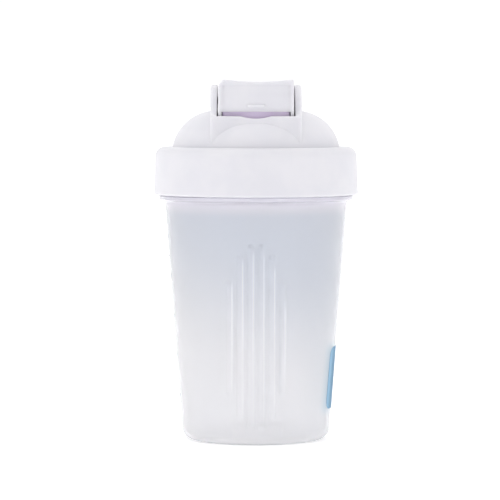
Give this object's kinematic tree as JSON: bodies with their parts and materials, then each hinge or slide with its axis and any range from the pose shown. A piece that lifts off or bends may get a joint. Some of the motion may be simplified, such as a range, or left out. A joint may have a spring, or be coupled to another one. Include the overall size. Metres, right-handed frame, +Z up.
{
  "type": "shaker bottle",
  "caption": "Frosted shaker cup with a screw-on domed lid, a hinged flip cap over its spout and a mixing strainer in its neck.",
  "frame": {"origin": "centre of the cup's base, on the surface that it stands on", "axes": "+Z up along the cup's axis, -Y to the front where the spout and thumb tab are, +X to the side with the printed panel"},
  "size_m": [0.092, 0.092, 0.1623],
  "materials": {
    "frosted_cup": "frosted translucent polypropylene",
    "white_shell": "satin white polypropylene",
    "lavender_silicone": "matte silicone",
    "clear_silicone": "matte silicone",
    "blue_ink": "screen print",
    "grey_ink": "screen print"
  },
  "bodies": {
    "cup": {"cup": "frosted_cup", "side_panel": "blue_ink", "volume_scale": "grey_ink"},
    "strainer": {"strainer": "white_shell"},
    "gasket": {"lid_gasket": "clear_silicone"},
    "lid": {"lid": "white_shell", "hinge_pin": "white_shell"},
    "flip_cap": {"flip_cap": "white_shell", "spout_seal": "lavender_silicone"}
  },
  "joints": [
    {"name": "lid_lift", "type": "slide", "parent": "cup", "child": "gasket", "axis": [0, 0, 1], "range_m": [0, 0.0361]},
    {"name": "lid_turn", "type": "hinge", "parent": "gasket", "child": "lid", "pos_m": [0, 0, 0.12], "axis": [0, 0, 1], "range_deg": [0, 1080]},
    {"name": "cap_hinge", "type": "hinge", "parent": "lid", "child": "flip_cap", "pos_m": [0, 0.01, 0.1528], "axis": [-1, 0, 0], "range_deg": [0, 145]},
    {"name": "strainer_lift", "type": "slide", "parent": "cup", "child": "strainer", "axis": [0, 0, 1], "range_m": [0, 0.0161]}
  ],
  "couplings": [
    {"joint": "lid_lift", "follows": "lid_turn", "m_per_rad": 0.0019099},
    {"joint": "strainer_lift", "follows": "lid_turn", "m_per_rad": 0.00084883}
  ]
}
